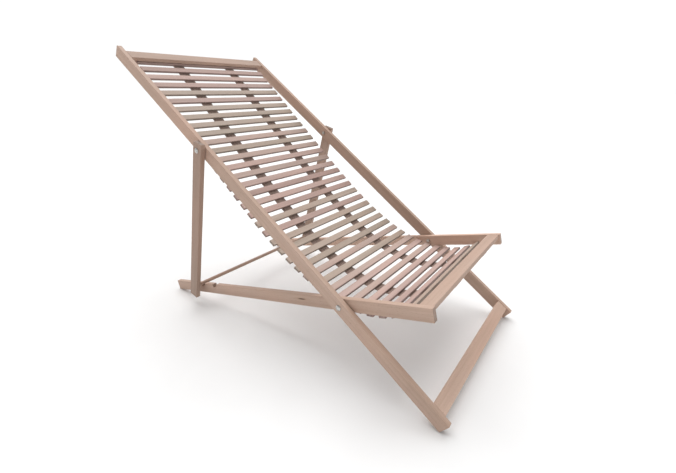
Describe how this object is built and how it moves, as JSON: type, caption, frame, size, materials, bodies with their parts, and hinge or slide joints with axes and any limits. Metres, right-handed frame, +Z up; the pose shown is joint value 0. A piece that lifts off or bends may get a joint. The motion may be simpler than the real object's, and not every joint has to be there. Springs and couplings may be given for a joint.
{
  "type": "folding deck chair",
  "caption": "Folding deck chair: two crossed wooden frames and a rear prop, with a slung seat of thin wooden slats on two webbing straps.",
  "frame": {"origin": "centre of the bounding box's bottom face, on the floor the chair stands on", "axes": "+X across the chair to the sitter's left, -Y the way the sitter faces, +Z up"},
  "size_m": [0.6106, 1.1818, 0.8445],
  "materials": {
    "rail_wood": "smooth unfinished pale beech",
    "slat_wood": "smooth unfinished pale beech",
    "webbing": "woven flat webbing",
    "steel": "zinc plated"
  },
  "bodies": {
    "back_frame": {"back_rail_left": "rail_wood", "back_rail_right": "rail_wood", "head_bar": "rail_wood", "foot_bar": "rail_wood", "webbing_left": "webbing", "webbing_right": "webbing", "seat_pivot_bolt_left": "steel", "seat_pivot_bolt_right": "steel", "seat_pivot_nut_left": "steel", "seat_pivot_nut_right": "steel", "prop_bolt_left": "steel", "prop_bolt_right": "steel", "prop_nut_left": "steel", "prop_nut_right": "steel"},
    "seat_frame": {"seat_rail_left": "rail_wood", "seat_rail_right": "rail_wood", "seat_front_bar": "rail_wood"},
    "prop": {"prop_leg_left": "rail_wood", "prop_leg_right": "rail_wood", "prop_bar": "rail_wood"},
    "slat_01": {"slat_01": "slat_wood"},
    "slat_02": {"slat_02": "slat_wood"},
    "slat_03": {"slat_03": "slat_wood"},
    "slat_04": {"slat_04": "slat_wood"},
    "slat_05": {"slat_05": "slat_wood"},
    "slat_06": {"slat_06": "slat_wood"},
    "slat_07": {"slat_07": "slat_wood"},
    "slat_08": {"slat_08": "slat_wood"},
    "slat_09": {"slat_09": "slat_wood"},
    "slat_10": {"slat_10": "slat_wood"},
    "slat_11": {"slat_11": "slat_wood"},
    "slat_12": {"slat_12": "slat_wood"},
    "slat_13": {"slat_13": "slat_wood"},
    "slat_14": {"slat_14": "slat_wood"},
    "slat_15": {"slat_15": "slat_wood"},
    "slat_16": {"slat_16": "slat_wood"},
    "slat_17": {"slat_17": "slat_wood"},
    "slat_18": {"slat_18": "slat_wood"},
    "slat_19": {"slat_19": "slat_wood"},
    "slat_20": {"slat_20": "slat_wood"},
    "slat_21": {"slat_21": "slat_wood"},
    "slat_22": {"slat_22": "slat_wood"},
    "slat_23": {"slat_23": "slat_wood"},
    "slat_24": {"slat_24": "slat_wood"},
    "slat_25": {"slat_25": "slat_wood"},
    "slat_26": {"slat_26": "slat_wood"},
    "slat_27": {"slat_27": "slat_wood"},
    "slat_28": {"slat_28": "slat_wood"},
    "slat_29": {"slat_29": "slat_wood"},
    "slat_30": {"slat_30": "slat_wood"},
    "slat_31": {"slat_31": "slat_wood"},
    "slat_32": {"slat_32": "slat_wood"},
    "slat_33": {"slat_33": "slat_wood"},
    "slat_34": {"slat_34": "slat_wood"},
    "slat_35": {"slat_35": "slat_wood"}
  },
  "joints": [
    {"name": "seat_frame_fold", "type": "hinge", "parent": "back_frame", "child": "seat_frame", "pos_m": [0, -0.28891, 0.21986], "axis": [1, 0, 0], "range_deg": [0, 33], "deforming": ["webbing_left", "webbing_right"]},
    {"name": "prop_swing", "type": "hinge", "parent": "back_frame", "child": "prop", "pos_m": [0, 0.19291, 0.55811], "axis": [1, 0, 0], "range_deg": [0, 108.91]},
    {"name": "slat_01_swing", "type": "hinge", "parent": "back_frame", "child": "slat_01", "pos_m": [0, 0.55436, 0.80624], "axis": [1, 0, 0], "range_deg": [-0.02, 21.61]},
    {"name": "slat_02_swing", "type": "hinge", "parent": "back_frame", "child": "slat_02", "pos_m": [0, 0.56901, 0.82134], "axis": [1, 0, 0], "range_deg": [-0.02, 13.59]},
    {"name": "slat_03_swing", "type": "hinge", "parent": "back_frame", "child": "slat_03", "pos_m": [0, 0.57633, 0.82915], "axis": [1, 0, 0], "range_deg": [-0.02, 12.18]},
    {"name": "slat_04_swing", "type": "hinge", "parent": "back_frame", "child": "slat_04", "pos_m": [0, 0.58869, 0.84245], "axis": [1, 0, 0], "range_deg": [-0.02, 10.77]},
    {"name": "slat_05_swing", "type": "hinge", "parent": "back_frame", "child": "slat_05", "pos_m": [0, 0.60843, 0.86368], "axis": [1, 0, 0], "range_deg": [-0.02, 9.36]},
    {"name": "slat_06_swing", "type": "hinge", "parent": "back_frame", "child": "slat_06", "pos_m": [0, 0.63948, 0.89695], "axis": [1, 0, 0], "range_deg": [-0.02, 7.95]},
    {"name": "slat_07_swing", "type": "hinge", "parent": "back_frame", "child": "slat_07", "pos_m": [0, 0.68906, 0.94983], "axis": [1, 0, 0], "range_deg": [-0.02, 6.55]},
    {"name": "slat_08_swing", "type": "hinge", "parent": "back_frame", "child": "slat_08", "pos_m": [0, 0.77203, 1.03783], "axis": [1, 0, 0], "range_deg": [-0.02, 5.16]},
    {"name": "slat_09_swing", "type": "hinge", "parent": "back_frame", "child": "slat_09", "pos_m": [0, 0.92453, 1.19874], "axis": [1, 0, 0], "range_deg": [-0.02, 3.77]},
    {"name": "slat_10_swing", "type": "hinge", "parent": "back_frame", "child": "slat_10", "pos_m": [0, 1.2628, 1.55413], "axis": [1, 0, 0], "range_deg": [-0.02, 2.41]},
    {"name": "slat_11_swing", "type": "hinge", "parent": "back_frame", "child": "slat_11", "pos_m": [0, 2.48417, 2.83304], "axis": [1, 0, 0], "range_deg": [-0.02, 1.07]},
    {"name": "slat_12_swing", "type": "slide", "parent": "back_frame", "child": "slat_12", "axis": [0, 0.7227, -0.6912], "range_m": [0, 0.05831]},
    {"name": "slat_13_swing", "type": "hinge", "parent": "back_frame", "child": "slat_13", "pos_m": [0, -1.26907, -1.08674], "axis": [1, 0, 0], "range_deg": [-1.53, 0.02]},
    {"name": "slat_14_swing", "type": "hinge", "parent": "back_frame", "child": "slat_14", "pos_m": [0, -0.6082, -0.39325], "axis": [1, 0, 0], "range_deg": [-2.73, 0.02]},
    {"name": "slat_15_swing", "type": "hinge", "parent": "back_frame", "child": "slat_15", "pos_m": [0, -0.37196, -0.14358], "axis": [1, 0, 0], "range_deg": [-3.85, 0.02]},
    {"name": "slat_16_swing", "type": "hinge", "parent": "back_frame", "child": "slat_16", "pos_m": [0, -0.25719, -0.02081], "axis": [1, 0, 0], "range_deg": [-4.88, 0.02]},
    {"name": "slat_17_swing", "type": "hinge", "parent": "back_frame", "child": "slat_17", "pos_m": [0, -0.19411, 0.04795], "axis": [1, 0, 0], "range_deg": [-5.79, 0.02]},
    {"name": "slat_18_swing", "type": "hinge", "parent": "back_frame", "child": "slat_18", "pos_m": [0, -0.15793, 0.08852], "axis": [1, 0, 0], "range_deg": [-6.55, 0.02]},
    {"name": "slat_19_swing", "type": "hinge", "parent": "seat_frame", "child": "slat_19", "pos_m": [0, -0.26819, 0.19339], "axis": [1, 0, 0], "range_deg": [-40.14, 0.02]},
    {"name": "slat_20_swing", "type": "hinge", "parent": "seat_frame", "child": "slat_20", "pos_m": [0, -0.2648, 0.19392], "axis": [1, 0, 0], "range_deg": [-40.53, 0.02]},
    {"name": "slat_21_swing", "type": "hinge", "parent": "seat_frame", "child": "slat_21", "pos_m": [0, -0.2637, 0.19407], "axis": [1, 0, 0], "range_deg": [-40.67, 0.02]},
    {"name": "slat_22_swing", "type": "hinge", "parent": "seat_frame", "child": "slat_22", "pos_m": [0, -0.26471, 0.19395], "axis": [1, 0, 0], "range_deg": [-40.52, 0.02]},
    {"name": "slat_23_swing", "type": "hinge", "parent": "seat_frame", "child": "slat_23", "pos_m": [0, -0.26768, 0.19364], "axis": [1, 0, 0], "range_deg": [-40.05, 0.02]},
    {"name": "slat_24_swing", "type": "hinge", "parent": "seat_frame", "child": "slat_24", "pos_m": [0, -0.27242, 0.19323], "axis": [1, 0, 0], "range_deg": [-39.19, 0.02]},
    {"name": "slat_25_swing", "type": "hinge", "parent": "seat_frame", "child": "slat_25", "pos_m": [0, -0.27875, 0.19282], "axis": [1, 0, 0], "range_deg": [-37.89, 0.02]},
    {"name": "slat_26_swing", "type": "hinge", "parent": "seat_frame", "child": "slat_26", "pos_m": [0, -0.28647, 0.19247], "axis": [1, 0, 0], "range_deg": [-36.09, 0.02]},
    {"name": "slat_27_swing", "type": "hinge", "parent": "seat_frame", "child": "slat_27", "pos_m": [0, -0.29531, 0.19223], "axis": [1, 0, 0], "range_deg": [-33.73, 0.02]},
    {"name": "slat_28_swing", "type": "hinge", "parent": "seat_frame", "child": "slat_28", "pos_m": [0, -0.30494, 0.19212], "axis": [1, 0, 0], "range_deg": [-30.73, 0.02]},
    {"name": "slat_29_swing", "type": "hinge", "parent": "seat_frame", "child": "slat_29", "pos_m": [0, -0.31481, 0.19203], "axis": [1, 0, 0], "range_deg": [-27.01, 0.02]},
    {"name": "slat_30_swing", "type": "hinge", "parent": "seat_frame", "child": "slat_30", "pos_m": [0, -0.32391, 0.19158], "axis": [1, 0, 0], "range_deg": [-22.48, 0.02]},
    {"name": "slat_31_swing", "type": "hinge", "parent": "seat_frame", "child": "slat_31", "pos_m": [0, -0.3298, 0.18953], "axis": [1, 0, 0], "range_deg": [-17.06, 0.02]},
    {"name": "slat_32_swing", "type": "hinge", "parent": "seat_frame", "child": "slat_32", "pos_m": [0, -0.32326, 0.18062], "axis": [1, 0, 0], "range_deg": [-10.64, 0.02]},
    {"name": "slat_33_swing", "type": "hinge", "parent": "seat_frame", "child": "slat_33", "pos_m": [0, -0.19791, 0.10149], "axis": [1, 0, 0], "range_deg": [-3.12, 0.02]},
    {"name": "slat_34_swing", "type": "hinge", "parent": "seat_frame", "child": "slat_34", "pos_m": [0, -0.52391, 0.2934], "axis": [1, 0, 0], "range_deg": [-0.02, 5.65]},
    {"name": "slat_35_swing", "type": "hinge", "parent": "seat_frame", "child": "slat_35", "pos_m": [0, -0.47009, 0.25952], "axis": [1, 0, 0], "range_deg": [-0.02, 15.73]}
  ],
  "couplings": [
    {"joint": "prop_swing", "follows": "seat_frame_fold", "ratio": 3.3},
    {"joint": "slat_01_swing", "follows": "seat_frame_fold", "ratio": 0.65411},
    {"joint": "slat_02_swing", "follows": "seat_frame_fold", "ratio": 0.41134},
    {"joint": "slat_03_swing", "follows": "seat_frame_fold", "ratio": 0.36857},
    {"joint": "slat_04_swing", "follows": "seat_frame_fold", "ratio": 0.32581},
    {"joint": "slat_05_swing", "follows": "seat_frame_fold", "ratio": 0.28309},
    {"joint": "slat_06_swing", "follows": "seat_frame_fold", "ratio": 0.24044},
    {"joint": "slat_07_swing", "follows": "seat_frame_fold", "ratio": 0.19793},
    {"joint": "slat_08_swing", "follows": "seat_frame_fold", "ratio": 0.15566},
    {"joint": "slat_09_swing", "follows": "seat_frame_fold", "ratio": 0.11375},
    {"joint": "slat_10_swing", "follows": "seat_frame_fold", "ratio": 0.07239},
    {"joint": "slat_11_swing", "follows": "seat_frame_fold", "ratio": 0.03179},
    {"joint": "slat_12_swing", "follows": "seat_frame_fold", "m_per_rad": 0.10122},
    {"joint": "slat_13_swing", "follows": "seat_frame_fold", "ratio": -0.04588},
    {"joint": "slat_14_swing", "follows": "seat_frame_fold", "ratio": -0.0822},
    {"joint": "slat_15_swing", "follows": "seat_frame_fold", "ratio": -0.11619},
    {"joint": "slat_16_swing", "follows": "seat_frame_fold", "ratio": -0.14728},
    {"joint": "slat_17_swing", "follows": "seat_frame_fold", "ratio": -0.17478},
    {"joint": "slat_18_swing", "follows": "seat_frame_fold", "ratio": -0.19792},
    {"joint": "slat_19_swing", "follows": "seat_frame_fold", "ratio": -1.2158},
    {"joint": "slat_20_swing", "follows": "seat_frame_fold", "ratio": -1.2274},
    {"joint": "slat_21_swing", "follows": "seat_frame_fold", "ratio": -1.2317},
    {"joint": "slat_22_swing", "follows": "seat_frame_fold", "ratio": -1.2273},
    {"joint": "slat_23_swing", "follows": "seat_frame_fold", "ratio": -1.2129},
    {"joint": "slat_24_swing", "follows": "seat_frame_fold", "ratio": -1.1869},
    {"joint": "slat_25_swing", "follows": "seat_frame_fold", "ratio": -1.1476},
    {"joint": "slat_26_swing", "follows": "seat_frame_fold", "ratio": -1.0932},
    {"joint": "slat_27_swing", "follows": "seat_frame_fold", "ratio": -1.0216},
    {"joint": "slat_28_swing", "follows": "seat_frame_fold", "ratio": -0.93058},
    {"joint": "slat_29_swing", "follows": "seat_frame_fold", "ratio": -0.81782},
    {"joint": "slat_30_swing", "follows": "seat_frame_fold", "ratio": -0.68068},
    {"joint": "slat_31_swing", "follows": "seat_frame_fold", "ratio": -0.51637},
    {"joint": "slat_32_swing", "follows": "seat_frame_fold", "ratio": -0.32189},
    {"joint": "slat_33_swing", "follows": "seat_frame_fold", "ratio": -0.09399},
    {"joint": "slat_34_swing", "follows": "seat_frame_fold", "ratio": 0.17075},
    {"joint": "slat_35_swing", "follows": "seat_frame_fold", "ratio": 0.47605}
  ]
}
